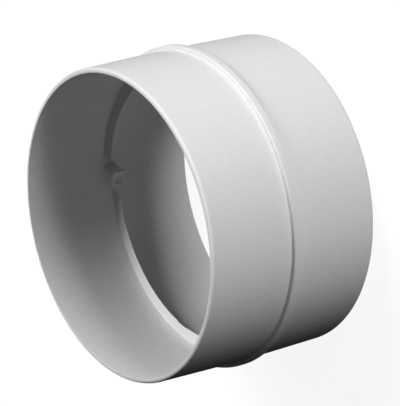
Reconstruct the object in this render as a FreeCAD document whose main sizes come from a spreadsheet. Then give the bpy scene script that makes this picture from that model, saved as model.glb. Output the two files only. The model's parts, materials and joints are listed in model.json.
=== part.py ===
# Round duct connector, moulded in one piece. A short tube has a tapered spigot at each end and a ridge round
# its middle where the two ducts stop. Inside are two half-ring stops, and two hooked clips for a flap's axle.
# Millimetres. The tube stands on one end: +Z is the duct's axis, and the clips face each other along Y.
import FreeCAD, Part
import math
import os
import Sketcher
from types import SimpleNamespace

NODE = "duct_connector"
SAME_PLACE = 1e-4
MOST_OF_WALL = 0.45    # the share of a wall that an edge may take from each side

# Driving sizes: name, value, what it measures
SIZES = (
    ("tube_length", 62.0, "the tube, from end to end"),
    ("duct_radius", 50.0, "outside of the tube beside the ridge"),
    ("seat_length", 10.0, "straight seat for a duct on each side of the ridge, along the axis"),
    ("spigot_taper", 0.35, "how far the outside draws in from the seat towards each end"),
    ("wall_middle", 2.25, "tube wall at the middle"),
    ("wall_end", 1.5, "tube wall at each end"),
    ("lead_length", 0.6, "sloped lead-in at each end, along the axis"),
    ("end_land", 0.9, "flat that the lead-in leaves on each end face"),
    ("ridge_height", 1.45, "ridge above the tube"),
    ("ridge_width", 2.8, "ridge along the axis"),
    ("ridge_edge_slope", 0.45, "slope on the ridge's two edges"),
    ("ridge_root_slope", 0.3, "slope where the ridge meets the tube"),
    ("stop_height", 4.0, "half-ring stop above the bore"),
    ("stop_thickness", 0.75, "half-ring stop along the axis"),
    ("stop_edge_slope", 0.25, "slope on a stop's inner edges"),
    ("upper_stop_start", 7.3, "from the axle to the ends of the upper stop"),
    ("lower_stop_start", 5.7, "from the axle to the ends of the lower stop"),
    ("flap_gap", 2.5, "room between the planes of the two stops"),
    ("axle_radius", 1.2, "inside of a clip's hook"),
    ("long_jaw", 3.2, "longer jaw of a hook, from the axle to its tip"),
    ("long_jaw_wall", 1.5, "thickness of the longer jaw"),
    ("short_jaw", 1.9, "shorter jaw of a hook, from the axle to its tip"),
    ("short_jaw_wall", 1.5, "thickness of the shorter jaw"),
    ("hook_length", 2.0, "hook, along the axle"),
    ("clip_reach", 5.65, "clip above the bore, strut and hook together"),
    ("strut_offset", 4.1, "from the axle to the middle of the strut's root"),
    ("strut_width", 1.6, "strut at its root, across the axle"),
    ("strut_above", 1.5, "strut above the axle, along the tube"),
    ("strut_below", 2.0, "strut below the axle, along the tube"),
)


class Size:
    """A length: its present value, and the formula that ties it to the sheet."""

    def __init__(self, number, formula):
        self.number = number
        self.formula = formula

    def __add__(self, other):
        return Size(self.number + other.number, f"({self.formula} + {other.formula})")

    def __sub__(self, other):
        return Size(self.number - other.number, f"({self.formula} - {other.formula})")

    def __mul__(self, factor):
        return Size(self.number * factor, f"({self.formula} * {factor})")

    def __neg__(self):
        return self * -1


NOTHING = Size(0.0, "0")


def smaller(first, second):
    """The smaller of two lengths."""
    return Size(min(first.number, second.number), f"min({first.formula}; {second.formula})")


def half_chord(radius, distance):
    """Half of the chord that a circle leaves on a line at a distance from its centre."""
    number = math.sqrt(radius.number ** 2 - distance.number ** 2)
    return Size(number, f"sqrt({radius.formula}^2 - {distance.formula}^2)")


def make_sheet(document):
    """Puts the driving sizes in a sheet and gives them back by name."""
    sheet = document.addObject("Spreadsheet::Sheet", "Sizes")
    for row, (alias, number, meaning) in enumerate(SIZES, start=1):
        sheet.set(f"A{row}", meaning)
        sheet.set(f"B{row}", str(number))
        sheet.setAlias(f"B{row}", alias)
    document.recompute()
    sizes = {alias: Size(float(sheet.get(alias)), f"Sizes.{alias}") for alias, _, _ in SIZES}
    return SimpleNamespace(**sizes)


def origin_plane(body, role):
    return next(feature for feature in body.Origin.OriginFeatures if feature.Role == role)


def plane_sketch(body, name, role):
    """An empty sketch on one of the body's origin planes."""
    sketch = body.newObject("Sketcher::SketchObject", name)
    sketch.AttachmentSupport = [(origin_plane(body, role), "")]
    sketch.MapMode = "FlatFace"
    return sketch


def hold(sketch, direction, side, point, size):
    """Holds one coordinate of a sketch point to the sketch's origin."""
    if size.number == 0.0:
        axis = -2 if direction == "DistanceX" else -1
        sketch.addConstraint(Sketcher.Constraint("PointOnObject", side, point, axis))
        return
    number = sketch.addConstraint(Sketcher.Constraint(direction, -1, 1, side, point, size.number))
    sketch.setExpression(f"Constraints[{number}]", size.formula)


def add_path(sketch, corners, arcs={}):
    """A closed path through corners whose coordinates are tied to the sheet.

    A side is straight, or an arc where arcs gives the point that it passes through and, to fix it, which
    coordinate of its centre is held, and where.
    """
    points = [FreeCAD.Vector(x.number, y.number, 0) for x, y in corners]
    sides = []
    starts = []
    for number, start in enumerate(points):
        end = points[(number + 1) % len(points)]
        line = Part.LineSegment(start, end)
        if number in arcs:
            x, y = arcs[number][0]
            line = Part.Arc(start, FreeCAD.Vector(x.number, y.number, 0), end)
        sides.append(sketch.addGeometry(line, False))
        starts.append(1 if sketch.getPoint(sides[-1], 1).isEqual(start, SAME_PLACE) else 2)
    for number, (x, y) in enumerate(corners):
        end_before = 3 - starts[number - 1]
        joint = (sides[number - 1], end_before, sides[number], starts[number])
        sketch.addConstraint(Sketcher.Constraint("Coincident", *joint))
        hold(sketch, "DistanceX", sides[number], starts[number], x)
        hold(sketch, "DistanceY", sides[number], starts[number], y)
    for number, (_, direction, size) in arcs.items():
        hold(sketch, direction, sides[number], 3, size)


def add_pad(body, name, sketch, start, length):
    """Raises a sketch by a length, from a distance in front of its plane."""
    sketch.setExpression("AttachmentOffset.Base.z", start.formula)
    pad = body.newObject("PartDesign::Pad", name)
    pad.Profile = sketch
    pad.setExpression("Length", length.formula)
    body.Document.recompute()
    return pad


def add_slopes(body, name, feature, radius, heights, size):
    """Slopes off the edges of a feature that run round the duct at a radius and at some heights."""
    edges = []
    for number, edge in enumerate(feature.Shape.Edges, start=1):
        curve = edge.Curve
        if not isinstance(curve, Part.Circle) or abs(curve.Radius - radius.number) > SAME_PLACE:
            continue
        if any(abs(curve.Center.z - height.number) < SAME_PLACE for height in heights):
            edges.append(f"Edge{number}")
    slopes = body.newObject("PartDesign::Chamfer", name)
    slopes.Base = (feature, edges)
    slopes.setExpression("Size", size.formula)
    body.Document.recompute()
    return slopes


def add_tube(body, s, middle):
    """The tube with its ridge, turned in one go, then the ridge's edges and roots."""
    bore_middle = s.duct_radius - s.wall_middle
    spigot_end = s.duct_radius - s.spigot_taper
    bore_end = spigot_end - s.wall_end
    ridge_top = s.duct_radius + s.ridge_height
    ridge_low = middle - s.ridge_width * 0.5
    ridge_high = middle + s.ridge_width * 0.5
    section = plane_sketch(body, "TubeSection", "XZ_Plane")
    add_path(section, [
        (bore_end, NOTHING),
        (bore_end + s.end_land, NOTHING),
        (spigot_end, s.lead_length),
        (s.duct_radius, ridge_low - s.seat_length),
        (s.duct_radius, ridge_low),
        (ridge_top, ridge_low),
        (ridge_top, ridge_high),
        (s.duct_radius, ridge_high),
        (s.duct_radius, ridge_high + s.seat_length),
        (spigot_end, s.tube_length - s.lead_length),
        (bore_end + s.end_land, s.tube_length),
        (bore_end, s.tube_length),
        (bore_middle, middle),
    ])
    tube = body.newObject("PartDesign::Revolution", "Tube")
    tube.Profile = section
    tube.ReferenceAxis = (section, ["V_Axis"])
    body.Document.recompute()
    most = s.ridge_height * MOST_OF_WALL
    sides = (ridge_low, ridge_high)
    edges = add_slopes(body, "RidgeEdges", tube, ridge_top, sides, smaller(s.ridge_edge_slope, most))
    add_slopes(body, "RidgeRoots", edges, s.duct_radius, sides, smaller(s.ridge_root_slope, most))


def add_stop(body, s, name, side, start, low):
    """A half-ring stop on the side of +X (1) or -X (-1). Its ends are cut parallel to the axle."""
    crest = s.duct_radius - s.wall_middle - s.stop_height
    in_wall = s.duct_radius - s.wall_middle * 0.5
    crest_end = half_chord(crest, start)
    wall_end = half_chord(in_wall, start)
    section = plane_sketch(body, f"{name}Section", "XY_Plane")
    cut = start * side
    corners = [(cut, -crest_end), (cut, crest_end), (cut, wall_end), (cut, -wall_end)]
    add_path(section, corners, {
        0: ((crest * side, NOTHING), "DistanceX", NOTHING),
        2: ((in_wall * side, NOTHING), "DistanceX", NOTHING),
    })
    stop = add_pad(body, name, section, low, s.stop_thickness)
    slope = smaller(s.stop_edge_slope, s.stop_thickness * MOST_OF_WALL)
    add_slopes(body, f"{name}Edges", stop, crest, (low, low + s.stop_thickness), slope)


def add_clips(body, s, middle):
    """A clip on the -Y side and its mirror image on +Y: a hook, open downwards, on a slanted strut."""
    face = s.duct_radius - s.wall_middle - s.clip_reach
    in_wall = s.duct_radius - s.wall_middle * 0.5
    long_side = s.axle_radius + s.long_jaw_wall
    short_side = s.axle_radius + s.short_jaw_wall
    back = (long_side + short_side) * 0.5

    hook_section = plane_sketch(body, "HookSection", "XZ_Plane")
    long_tip = middle - s.long_jaw
    short_tip = middle - s.short_jaw
    corners = [
        (long_side, middle),
        (-short_side, middle),
        (-short_side, short_tip),
        (-s.axle_radius, short_tip),
        (-s.axle_radius, middle),
        (s.axle_radius, middle),
        (s.axle_radius, long_tip),
        (long_side, long_tip),
    ]
    add_path(hook_section, corners, {
        0: (((long_side - short_side) * 0.5, middle + back), "DistanceY", middle),
        4: ((NOTHING, middle + s.axle_radius), "DistanceY", middle),
    })
    hook = add_pad(body, "Hook", hook_section, face, s.hook_length)

    strut_section = plane_sketch(body, "StrutSection", "XY_Plane")
    half_root = s.strut_width * 0.5
    add_path(strut_section, [
        (s.strut_offset - half_root, -in_wall),
        (s.strut_offset + half_root, -in_wall),
        (long_side, -face),
        (long_side - s.long_jaw_wall * 0.5, -(face + s.hook_length * 0.5)),
    ])
    strut = add_pad(body, "Strut", strut_section, middle - s.strut_below, s.strut_below + s.strut_above)

    opposite = body.newObject("PartDesign::Mirrored", "OppositeClip")
    opposite.Originals = [hook, strut]
    opposite.MirrorPlane = (origin_plane(body, "XZ_Plane"), [""])
    body.Tip = opposite


def check(document, body):
    """Stops if a feature failed or the body isn't one sound solid."""
    for item in document.Objects:
        if "Invalid" in item.State or "Error" in item.State:
            raise RuntimeError(f"{item.Name} failed: {item.State}")
    shape = body.Shape
    if shape.isNull() or not shape.isValid() or len(shape.Solids) != 1:
        raise RuntimeError(f"{body.Label} isn't one sound solid")


def main():
    document = FreeCAD.newDocument("DuctConnector")
    s = make_sheet(document)
    middle = s.tube_length * 0.5
    half_gap = s.flap_gap * 0.5
    body = document.addObject("PartDesign::Body", "Connector")
    body.Label = NODE
    body.Placement = FreeCAD.Placement()
    add_tube(body, s, middle)
    add_stop(body, s, "UpperStop", 1, s.upper_stop_start, middle + half_gap)
    add_stop(body, s, "LowerStop", -1, s.lower_stop_start, middle - half_gap - s.stop_thickness)
    add_clips(body, s, middle)
    document.recompute()
    check(document, body)
    os.makedirs("parts", exist_ok=True)
    body.Shape.exportStep(f"parts/{NODE}.step")
    print(f"{NODE}: {body.Shape.Volume / 1000:.2f} cm3")


main()
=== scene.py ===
# Looks of the round duct connector: one white plastic moulding that stands on its end on a pale floor.
# Metres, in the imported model's frame: +Z is the duct's axis, and the axle clips face each other along Y.
import json
import math

import bpy
from mathutils import Matrix, Vector

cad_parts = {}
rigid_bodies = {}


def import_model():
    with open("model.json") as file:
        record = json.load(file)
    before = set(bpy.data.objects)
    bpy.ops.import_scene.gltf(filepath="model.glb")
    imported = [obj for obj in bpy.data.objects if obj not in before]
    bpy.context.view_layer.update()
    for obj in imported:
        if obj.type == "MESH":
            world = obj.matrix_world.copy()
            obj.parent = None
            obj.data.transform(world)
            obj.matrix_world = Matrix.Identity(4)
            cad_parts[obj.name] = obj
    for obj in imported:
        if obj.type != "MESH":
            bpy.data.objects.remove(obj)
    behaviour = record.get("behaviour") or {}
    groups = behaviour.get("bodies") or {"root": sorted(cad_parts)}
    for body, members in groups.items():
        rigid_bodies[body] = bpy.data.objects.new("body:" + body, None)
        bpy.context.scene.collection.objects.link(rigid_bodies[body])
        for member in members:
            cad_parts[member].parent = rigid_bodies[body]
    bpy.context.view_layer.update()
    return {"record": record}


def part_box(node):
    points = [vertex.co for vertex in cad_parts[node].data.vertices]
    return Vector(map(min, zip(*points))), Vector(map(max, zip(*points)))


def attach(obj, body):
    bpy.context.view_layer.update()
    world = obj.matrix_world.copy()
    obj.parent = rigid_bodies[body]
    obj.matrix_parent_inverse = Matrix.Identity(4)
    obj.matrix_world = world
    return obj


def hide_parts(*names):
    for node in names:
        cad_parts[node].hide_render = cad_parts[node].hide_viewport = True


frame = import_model()

MM = 0.001
NODE = "duct_connector"

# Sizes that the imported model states
mounts = {mount["name"]: mount for mount in frame["record"]["mounts"]}
low_corner, high_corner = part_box(NODE)
TUBE_LENGTH = high_corner.z - low_corner.z
MIDDLE = TUBE_LENGTH / 2
DUCT_RADIUS = mounts["upper_spigot"]["dims"]["r_mm"] * MM
AXLE_RADIUS = mounts["flap_axle"]["dims"]["r_mm"] * MM

# The tube's wall, from the ridge to an end
SEAT_LENGTH = 10.0 * MM
SPIGOT_TAPER = 0.35 * MM
WALL_MIDDLE = 2.25 * MM
WALL_END = 1.5 * MM
RIDGE_HEIGHT = 1.45 * MM
RIDGE_WIDTH = 2.8 * MM

# The half-ring stops and the axle clips inside
STOP_HEIGHT = 4.0 * MM
STOP_THICKNESS = 0.75 * MM
UPPER_STOP_START = 7.3 * MM
LOWER_STOP_START = 5.7 * MM
FLAP_GAP = 2.5 * MM
LONG_JAW = 3.2 * MM
LONG_JAW_WALL = 1.5 * MM
SHORT_JAW = 1.9 * MM
SHORT_JAW_WALL = 1.5 * MM
HOOK_LENGTH = 2.0 * MM
CLIP_REACH = 5.65 * MM
STRUT_OFFSET = 4.1 * MM
STRUT_WIDTH = 1.6 * MM
STRUT_ABOVE = 1.5 * MM
STRUT_BELOW = 2.0 * MM

# Rounds and slopes that the mould leaves on the edges
END_ROUND = 0.1 * MM
LEAD_ROUND = 1.05 * MM
RIDGE_EDGE_ROUND = 0.5 * MM
RIDGE_ROOT_ROUND = 0.2 * MM
STOP_EDGE_ROUND = 0.08 * MM
UPPER_STOP_FRONT_SLOPE = 0.15 * MM
LOWER_STOP_BACK_SLOPE = 0.6 * MM
CLIP_EDGE_ROUND = 0.12 * MM

# Small damage: dents in the lower stop's crest, and a pit in the ridge.
# A dent has its first and last angle in degrees, and its depth.
CREST_DENTS = ((107.5, 113.6, 0.22 * MM), (160.4, 167.8, 0.28 * MM))
DENT_END = math.radians(0.4)
DENT_BURR = 0.08 * MM
RIDGE_NICK_ANGLE = math.radians(-17.3)
RIDGE_NICK_HEIGHT = 31.25 * MM
RIDGE_NICK_WIDTH = 1.1 * MM
RIDGE_NICK_DEPTH = 0.6 * MM
# How far each of the pit's six corners lies from its middle, as a share of half its width
RIDGE_NICK_CORNERS = (1.0, 0.8, 0.95, 0.7, 0.9, 0.85)

# How finely the mesh follows the form, and what counts as a sharp edge
TUBE_SEGMENTS = 480
STOP_SEGMENTS = 500
HOOK_SEGMENTS = 24
ROUND_STEPS = 5
EASED_STEPS = 3
SLIVER = 0.015 * MM
SHARP_ANGLE = math.radians(35)
EASED_ANGLE = math.radians(50)
FLAT_FACE_WEIGHT = 80

# The plastic's skin: a fine grain with painted shade in its pits, and a gloss that drifts over some
# centimetres
GRAIN_WIDTH = 0.6 * MM
GRAIN_RELIEF = 0.02 * MM
FLOW_WIDTH = 25.0 * MM
NOISE_DETAIL = 2.0
LEAST_ROUGHNESS = 0.46
MOST_ROUGHNESS = 0.58
PLASTIC_IOR = 1.49

BORE_MIDDLE = DUCT_RADIUS - WALL_MIDDLE
IN_WALL = DUCT_RADIUS - WALL_MIDDLE / 2
SPIGOT_END = DUCT_RADIUS - SPIGOT_TAPER
BORE_END = SPIGOT_END - WALL_END

# The photograph's view, in degrees and metres: turned so that +X points up in the picture
CAMERA_AZIMUTH = 19.96
CAMERA_ELEVATION = 34.52
CAMERA_DISTANCE = 1038.5 * MM
CAMERA_AIM = Vector((1.11, -0.39, 29.89)) * MM
PICTURE_UP = Vector((0.9981, -0.0622, 0.0))
LENS = 294.1

# The floor reaches this far from the axis, and each lamp stands this far from the connector's middle
FLOOR_REACH = 6.0
LAMP_DISTANCE = 2.5

# How bright the floor glows, and how bright the room is to the connector and to the camera
FLOOR_GLOW = 0.9
ROOM_LIGHT = 0.016
BACKDROP_LIGHT = 1.0


def linear(hex_colour):
    """A colour written as sRGB hex, as linear red, green, blue and alpha."""
    channels = [int(hex_colour[i:i + 2], 16) / 255 for i in (1, 3, 5)]
    return [c / 12.92 if c <= 0.04045 else ((c + 0.055) / 1.055) ** 2.4 for c in channels] + [1.0]


def add_node(tree, kind, inputs=None, **settings):
    """A node with its settings, and with each input set to a value or linked to one or more sockets."""
    node = tree.nodes.new(kind)
    for name, value in settings.items():
        setattr(node, name, value)
    for name, value in (inputs or {}).items():
        sources = value if isinstance(value, list) else [value]
        if isinstance(sources[0], bpy.types.NodeSocket):
            for source in sources:
                tree.links.new(source, node.inputs[name])
        else:
            node.inputs[name].default_value = value
    return node


def new_tree(name, sockets):
    """A geometry tree with named inputs, and its input and output nodes."""
    tree = bpy.data.node_groups.new(name, "GeometryNodeTree")
    for socket, kind in sockets.items():
        tree.interface.new_socket(socket, in_out="INPUT", socket_type=f"NodeSocket{kind}")
    tree.interface.new_socket("Geometry", in_out="OUTPUT", socket_type="NodeSocketGeometry")
    return tree, add_node(tree, "NodeGroupInput").outputs, add_node(tree, "NodeGroupOutput").inputs


def new_object(name, data):
    """An object at the origin, in the scene."""
    item = bpy.data.objects.new(name, data)
    bpy.context.scene.collection.objects.link(item)
    return item


def grown(name, tree, values):
    """An object whose mesh comes from a geometry tree, with the tree's named inputs set."""
    item = new_object(name, bpy.data.meshes.new(name))
    modifier = item.modifiers.new(tree.name, "NODES")
    modifier.node_group = tree
    for socket in tree.interface.items_tree:
        if socket.in_out == "INPUT":
            modifier[socket.identifier] = values[socket.name]
    return item


def made_plain(item):
    """Turns what an object's modifiers give into its own plain mesh."""
    graph = bpy.context.evaluated_depsgraph_get()
    mesh = bpy.data.meshes.new_from_object(item.evaluated_get(graph))
    item.modifiers.clear()
    item.data = mesh
    mesh.name = item.name
    return item


def rounded(corners):
    """Points along a closed outline, with each corner (x, y, radius) rounded by an arc."""
    points = []
    for number, (x, y, radius) in enumerate(corners):
        here = Vector((x, y))
        before = (Vector(corners[number - 1][:2]) - here).normalized()
        after = (Vector(corners[(number + 1) % len(corners)][:2]) - here).normalized()
        half = before.angle(after) / 2
        if radius == 0:
            points.append(here)
            continue
        start = here + before * (radius / math.tan(half))
        end = here + after * (radius / math.tan(half))
        centre = here + (before + after).normalized() * (radius / math.sin(half))
        first = math.atan2(start.y - centre.y, start.x - centre.x)
        last = math.atan2(end.y - centre.y, end.x - centre.x)
        turn = (last - first + math.pi) % (2 * math.pi) - math.pi
        points += arc(centre, radius, first, first + turn, ROUND_STEPS)
    return points


def arc(centre, radius, start, end, steps):
    """Points along an arc, from one angle to another."""
    angles = [start + (end - start) * step / steps for step in range(steps + 1)]
    return [Vector((centre[0] + radius * math.cos(a), centre[1] + radius * math.sin(a))) for a in angles]


def outline(name, points):
    """A closed flat curve through points."""
    curve = bpy.data.curves.new(name, "CURVE")
    curve.dimensions = "3D"
    spline = curve.splines.new("POLY")
    spline.points.add(len(points) - 1)
    for point, flat in zip(spline.points, points):
        point.co = (*flat, 0.0, 1.0)
    spline.use_cyclic_u = True
    return new_object(name, curve)


def turning_tree():
    """A flat section carried once round the duct's axis: its x runs outwards, its y down."""
    tree, given, result = new_tree("Turned about the axis", {
        "Section": "Object", "Radius": "Float", "Height": "Float", "Segments": "Int",
    })
    section = add_node(tree, "GeometryNodeObjectInfo", {"Object": given["Section"]})
    ring = add_node(tree, "GeometryNodeCurvePrimitiveCircle", {
        "Resolution": given["Segments"], "Radius": given["Radius"],
    })
    height = add_node(tree, "ShaderNodeCombineXYZ", {"Z": given["Height"]})
    raised = add_node(tree, "GeometryNodeTransform", {
        "Geometry": ring.outputs["Curve"], "Translation": height.outputs["Vector"],
    })
    swept = add_node(tree, "GeometryNodeCurveToMesh", {
        "Curve": raised.outputs["Geometry"], "Profile Curve": section.outputs["Geometry"],
    })
    tree.links.new(swept.outputs["Mesh"], result["Geometry"])
    return tree


def raising_tree():
    """A flat outline carried straight from one point to another, with closed ends."""
    tree, given, result = new_tree("Raised outline", {
        "Outline": "Object", "Start": "Vector", "End": "Vector",
    })
    shape = add_node(tree, "GeometryNodeObjectInfo", {"Object": given["Outline"]})
    line = add_node(tree, "GeometryNodeCurvePrimitiveLine", {
        "Start": given["Start"], "End": given["End"],
    })
    swept = add_node(tree, "GeometryNodeCurveToMesh", {
        "Curve": line.outputs["Curve"], "Profile Curve": shape.outputs["Geometry"], "Fill Caps": True,
    })
    tree.links.new(swept.outputs["Mesh"], result["Geometry"])
    return tree


def joining_tree(count):
    """The tube and the pieces inside it, joined into one solid, nicked and given its material."""
    parts = ["Tube", *(f"Piece {number}" for number in range(count)), "Nick"]
    sockets = {name: "Object" for name in parts}
    sockets.update({"Sliver": "Float", "Sharp angle": "Float", "Material": "Material"})
    tree, given, result = new_tree("One moulding", sockets)
    placed = [add_node(tree, "GeometryNodeObjectInfo", {"Object": given[name]}) for name in parts]
    *solids, nick = [node.outputs["Geometry"] for node in placed]
    joined = add_node(tree, "GeometryNodeMeshBoolean", {
        "Mesh 2": solids,
    }, operation="UNION", solver="EXACT")
    nicked = add_node(tree, "GeometryNodeMeshBoolean", {
        "Mesh 1": joined.outputs["Mesh"], "Mesh 2": nick,
    }, operation="DIFFERENCE", solver="EXACT")
    # The joins leave a few slivers at the struts' roots, with no width
    clean = add_node(tree, "GeometryNodeMergeByDistance", {
        "Geometry": nicked.outputs["Mesh"], "Distance": given["Sliver"],
    })
    smooth = add_node(tree, "GeometryNodeSetShadeSmooth", {"Geometry": clean.outputs["Geometry"]})
    angle = add_node(tree, "GeometryNodeInputMeshEdgeAngle")
    corner = add_node(tree, "FunctionNodeCompare", {
        "A": angle.outputs["Unsigned Angle"], "B": given["Sharp angle"],
    }, operation="GREATER_THAN")
    creased = add_node(tree, "GeometryNodeSetShadeSmooth", {
        "Geometry": smooth.outputs["Geometry"],
        "Selection": corner.outputs["Result"],
        "Shade Smooth": False,
    }, domain="EDGE")
    plain = add_node(tree, "GeometryNodeRealizeInstances", {"Geometry": creased.outputs["Geometry"]})
    dressed = add_node(tree, "GeometryNodeSetMaterial", {
        "Geometry": plain.outputs["Geometry"], "Material": given["Material"],
    })
    tree.links.new(dressed.outputs["Geometry"], result["Geometry"])
    return tree


def ease_edges(item, width):
    """Rounds a piece's sharp edges a little, as a mould does."""
    bevel = item.modifiers.new("Eased edges", "BEVEL")
    bevel.width = width
    bevel.segments = EASED_STEPS
    bevel.limit_method = "ANGLE"
    bevel.angle_limit = EASED_ANGLE


def make_tube(tree):
    """The tube with its ridge, seats, tapers and rounded rims."""
    half = TUBE_LENGTH / 2
    side = RIDGE_WIDTH / 2
    upper_half = [
        (DUCT_RADIUS + RIDGE_HEIGHT, side, RIDGE_EDGE_ROUND),
        (DUCT_RADIUS, side, RIDGE_ROOT_ROUND),
        (DUCT_RADIUS, side + SEAT_LENGTH, 0),
        (SPIGOT_END, half, LEAD_ROUND),
        (BORE_END, half, END_ROUND),
    ]
    lower_half = [(radius, -height, edge) for radius, height, edge in reversed(upper_half)]
    corners = [*upper_half, (BORE_MIDDLE, 0, 0), *lower_half]
    section = outline("tube_section", rounded([(r - DUCT_RADIUS, -z, edge) for r, z, edge in corners]))
    values = {"Section": section, "Radius": DUCT_RADIUS, "Height": MIDDLE, "Segments": TUBE_SEGMENTS}
    return made_plain(grown("tube", tree, values))


def dent_depth(angle):
    """How far the lower stop's crest is pressed back at an angle. A dent has a burr at each end."""
    for first, last, depth in CREST_DENTS:
        ends = [math.radians(first), math.radians(last)]
        if ends[0] + DENT_END < angle < ends[1] - DENT_END:
            return depth
        if min(abs(angle - end) for end in ends) < DENT_END / 2:
            return -DENT_BURR
    return 0.0


def make_stop(name, side, start, section, damaged):
    """A half-ring stop on the side of +X (1) or -X (-1), with ends cut parallel to the axle."""
    middle = 0 if side > 0 else math.pi
    crest = BORE_MIDDLE - STOP_HEIGHT
    points = []
    for step in range(STOP_SEGMENTS + 1):
        for radius, height in section:
            angle = middle + (2 * step / STOP_SEGMENTS - 1) * math.acos(start / radius)
            if damaged and radius < crest + STOP_THICKNESS:
                radius += dent_depth(angle)
            points.append((radius * math.cos(angle), radius * math.sin(angle), height))
    count = len(section)
    faces = [range(count), range(len(points) - 1, len(points) - count - 1, -1)]
    for row in range(0, len(points) - count, count):
        for number in range(count):
            after = (number + 1) % count
            faces.append((row + after, row + number, row + count + number, row + count + after))
    mesh = bpy.data.meshes.new(name)
    mesh.from_pydata(points, [], faces)
    return new_object(name, mesh)


def make_stops():
    """The stop on +X, with its crest sloped above, and the one on -X, with its crest sloped below."""
    crest = BORE_MIDDLE - STOP_HEIGHT
    top, low = MIDDLE + FLAP_GAP / 2 + STOP_THICKNESS, MIDDLE + FLAP_GAP / 2
    upper_section = rounded([
        (crest + UPPER_STOP_FRONT_SLOPE, top, STOP_EDGE_ROUND),
        (crest, top - UPPER_STOP_FRONT_SLOPE, 0),
        (crest, low, STOP_EDGE_ROUND),
        (IN_WALL, low, 0),
        (IN_WALL, top, 0),
    ])
    top, low = MIDDLE - FLAP_GAP / 2, MIDDLE - FLAP_GAP / 2 - STOP_THICKNESS
    lower_section = rounded([
        (crest, top, STOP_EDGE_ROUND),
        (crest, low + LOWER_STOP_BACK_SLOPE, 0),
        (crest + LOWER_STOP_BACK_SLOPE, low, STOP_EDGE_ROUND),
        (IN_WALL, low, 0),
        (IN_WALL, top, 0),
    ])
    return [
        make_stop("upper_stop", 1, UPPER_STOP_START, upper_section, False),
        make_stop("lower_stop", -1, LOWER_STOP_START, lower_section, True),
    ]


def make_nick(tree):
    """What is missing where something has struck the ridge: a pit with an uneven edge."""
    corners = []
    for number, share in enumerate(RIDGE_NICK_CORNERS):
        turn = 2 * math.pi * number / len(RIDGE_NICK_CORNERS)
        corners.append(share * RIDGE_NICK_WIDTH / 2 * Vector((math.cos(turn), math.sin(turn))))
    pit = outline("nick_outline", corners)
    outwards = Vector((math.cos(RIDGE_NICK_ANGLE), math.sin(RIDGE_NICK_ANGLE), 0))
    crest = outwards * (DUCT_RADIUS + RIDGE_HEIGHT) + Vector((0, 0, RIDGE_NICK_HEIGHT))
    ends = {"Start": crest - outwards * RIDGE_NICK_DEPTH, "End": crest + outwards * RIDGE_NICK_DEPTH}
    return made_plain(grown("nick", tree, {"Outline": pit, **ends}))


def make_clip(name, tree, side):
    """A clip on the side of +Y (1) or -Y (-1): a hook that is open downwards, and its slanted strut."""
    face = BORE_MIDDLE - CLIP_REACH
    long_side = AXLE_RADIUS + LONG_JAW_WALL
    short_side = AXLE_RADIUS + SHORT_JAW_WALL
    back = (long_side + short_side) / 2
    points = arc(((long_side - short_side) / 2, 0), back, math.pi, 0, HOOK_SEGMENTS)
    points += [Vector((long_side, -LONG_JAW)), Vector((AXLE_RADIUS, -LONG_JAW))]
    points += arc((0, 0), AXLE_RADIUS, 0, math.pi, HOOK_SEGMENTS)
    points += [Vector((-AXLE_RADIUS, -SHORT_JAW)), Vector((-short_side, -SHORT_JAW))]
    # Carried along +Y, an outline's x stays X and its y turns down
    hook_outline = outline(f"{name}_hook_outline", [(x, -z) for x, z in points])
    ends = sorted((side * face, side * (face + HOOK_LENGTH)))
    hook = grown(f"{name}_hook", tree, {
        "Outline": hook_outline, "Start": (0, ends[0], MIDDLE), "End": (0, ends[1], MIDDLE),
    })
    half_root = STRUT_WIDTH / 2
    corners = [
        (STRUT_OFFSET - half_root, side * IN_WALL),
        (STRUT_OFFSET + half_root, side * IN_WALL),
        (long_side, side * face),
        (long_side - LONG_JAW_WALL / 2, side * (face + HOOK_LENGTH / 2)),
    ]
    strut_outline = outline(f"{name}_strut_outline", corners)
    strut = grown(f"{name}_strut", tree, {
        "Outline": strut_outline,
        "Start": (0, 0, MIDDLE - STRUT_BELOW),
        "End": (0, 0, MIDDLE + STRUT_ABOVE),
    })
    for piece in (hook, strut):
        ease_edges(piece, CLIP_EDGE_ROUND)
        made_plain(piece)
    return [hook, strut]


def moulded_plastic():
    """White polypropylene from an eroded mould: bright and satin, with a fine grain and faint flow marks.

    The melt cools as it runs along the wall, so the gloss drifts a little over some centimetres.
    The mould's grain is about 0.1 mm wide, and is drawn 0.6 mm wide, so that a picture can show it.
    Its pits are painted a little darker than its tops, as painted shade in the hollows.
    """
    material = bpy.data.materials.new("moulded white polypropylene")
    material.use_nodes = True
    tree = material.node_tree
    tree.nodes.clear()
    place = add_node(tree, "ShaderNodeTexCoord").outputs["Object"]
    flow = add_node(tree, "ShaderNodeTexNoise", {
        "Vector": place, "Scale": 1 / FLOW_WIDTH, "Detail": NOISE_DETAIL,
    })
    gloss = add_node(tree, "ShaderNodeMapRange", {
        "Value": flow.outputs["Fac"], "To Min": LEAST_ROUGHNESS, "To Max": MOST_ROUGHNESS,
    })
    grain = add_node(tree, "ShaderNodeTexNoise", {
        "Vector": place, "Scale": 1 / GRAIN_WIDTH, "Detail": NOISE_DETAIL,
    })
    # The grain's low spots get the darker colour: painted shade in the pits
    painted_pit_shade = add_node(tree, "ShaderNodeValToRGB", {"Fac": grain.outputs["Fac"]})
    painted_pit_shade.color_ramp.elements[0].color = linear("#dcdcdc")
    painted_pit_shade.color_ramp.elements[1].color = linear("#f2f2f2")
    relief = add_node(tree, "ShaderNodeBump", {"Height": grain.outputs["Fac"], "Distance": GRAIN_RELIEF})
    skin = add_node(tree, "ShaderNodeBsdfPrincipled", {
        "Base Color": painted_pit_shade.outputs["Color"],
        "Roughness": gloss.outputs["Result"],
        "IOR": PLASTIC_IOR,
        "Normal": relief.outputs["Normal"],
    })
    add_node(tree, "ShaderNodeOutputMaterial", {"Surface": skin.outputs["BSDF"]})
    return material


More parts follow.
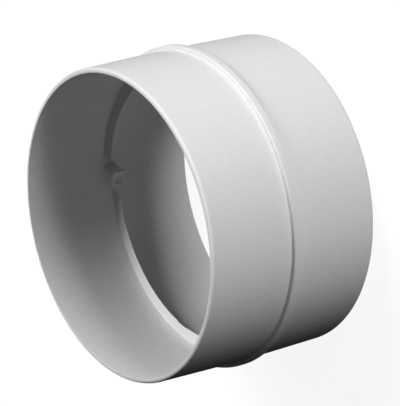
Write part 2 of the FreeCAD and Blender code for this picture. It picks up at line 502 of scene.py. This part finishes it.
def make_connector():
    """The whole moulding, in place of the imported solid."""
    turning, raising = turning_tree(), raising_tree()
    tube = make_tube(turning)
    nick = make_nick(raising)
    pieces = [*make_stops(), *make_clip("front_clip", raising, -1), *make_clip("back_clip", raising, 1)]
    values = {f"Piece {number}": piece for number, piece in enumerate(pieces)}
    values.update({"Tube": tube, "Nick": nick, "Material": moulded_plastic()})
    values.update({"Sliver": SLIVER, "Sharp angle": SHARP_ANGLE})
    connector = grown("connector_moulding", joining_tree(len(pieces)), values)
    normals = connector.modifiers.new("Flat faces stay flat", "WEIGHTED_NORMAL")
    normals.weight = FLAT_FACE_WEIGHT
    normals.keep_sharp = True
    made_plain(connector)
    for item in [tube, nick, *pieces, *(o for o in bpy.data.objects if o.type == "CURVE")]:
        bpy.data.objects.remove(item)
    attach(connector, "root")
    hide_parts(NODE)


def make_floor():
    """A pale floor that glows almost white, and whose own shading adds the connector's shadow.

    Only the camera sees it. The photographed connector is dark below, so no light comes back from the floor.
    """
    mesh = bpy.data.meshes.new("floor")
    sides = ((-1, -1), (1, -1), (1, 1), (-1, 1))
    mesh.from_pydata([(x * FLOOR_REACH, y * FLOOR_REACH, low_corner.z) for x, y in sides], [], [(0, 1, 2, 3)])
    floor = new_object("floor", mesh)
    material = bpy.data.materials.new("white paper floor")
    material.use_nodes = True
    tree = material.node_tree
    tree.nodes.clear()
    glow = add_node(tree, "ShaderNodeEmission", {"Color": linear("#ffffff"), "Strength": FLOOR_GLOW})
    paper = add_node(tree, "ShaderNodeBsdfDiffuse", {"Color": linear("#808080")})
    white = add_node(tree, "ShaderNodeAddShader", {0: glow.outputs[0], 1: paper.outputs[0]})
    add_node(tree, "ShaderNodeOutputMaterial", {"Surface": white.outputs[0]})
    mesh.materials.append(material)
    floor.visible_shadow = False
    floor.visible_diffuse = False
    floor.visible_glossy = False


def make_camera():
    """The photograph's view."""
    azimuth, elevation = math.radians(CAMERA_AZIMUTH), math.radians(CAMERA_ELEVATION)
    back = Vector((
        math.sin(azimuth) * math.cos(elevation),
        -math.cos(azimuth) * math.cos(elevation),
        math.sin(elevation),
    ))
    right = PICTURE_UP.cross(back).normalized()
    up = back.cross(right)
    lens = bpy.data.cameras.new("camera")
    lens.lens = LENS
    camera = new_object("camera", lens)
    turned = Matrix((right, up, back)).transposed()
    camera.matrix_world = Matrix.Translation(CAMERA_AIM + back * CAMERA_DISTANCE) @ turned.to_4x4()
    bpy.context.scene.camera = camera


def make_light(name, direction, width, height, power):
    """A soft box that faces the connector's middle."""
    data = bpy.data.lights.new(name, "AREA")
    data.shape = "RECTANGLE"
    data.size = width
    data.size_y = height
    data.energy = power
    lamp = new_object(name, data)
    away = Vector(direction).normalized()
    lamp.location = Vector((0, 0, MIDDLE)) + away * LAMP_DISTANCE
    lamp.rotation_euler = away.to_track_quat("Z", "Y").to_euler()


def light_room():
    """Four soft boxes in a dark room that the camera sees as white.

    The big one beside the connector reaches below it too, and lights the far half of the bore from there.
    The small one opposite the camera lights the outside that the photograph doesn't show.
    """
    world = bpy.data.worlds.new("room")
    world.use_nodes = True
    tree = world.node_tree
    tree.nodes.clear()
    path = add_node(tree, "ShaderNodeLightPath").outputs
    room = add_node(tree, "ShaderNodeBackground", {"Color": linear("#ffffff"), "Strength": ROOM_LIGHT})
    white = add_node(tree, "ShaderNodeBackground", {"Color": linear("#ffffff"), "Strength": BACKDROP_LIGHT})
    both = add_node(tree, "ShaderNodeMixShader", {
        0: path["Is Camera Ray"], 1: room.outputs[0], 2: white.outputs[0],
    })
    add_node(tree, "ShaderNodeOutputWorld", {"Surface": both.outputs[0]})
    bpy.context.scene.world = world
    make_light("key", direction=(0.70, -0.71, -0.02), width=1.5, height=1.0, power=50.1)
    make_light("front top", direction=(0.60, 0.20, 0.77), width=0.8, height=0.8, power=31.1)
    make_light("back top", direction=(0.40, 0.30, 0.87), width=0.8, height=0.8, power=16.8)
    make_light("far side", direction=(-0.34, 0.94, 0.0), width=0.4, height=0.2, power=25.0)


make_connector()
make_floor()
make_camera()
light_room()
bpy.context.scene.view_settings.view_transform = "Standard"
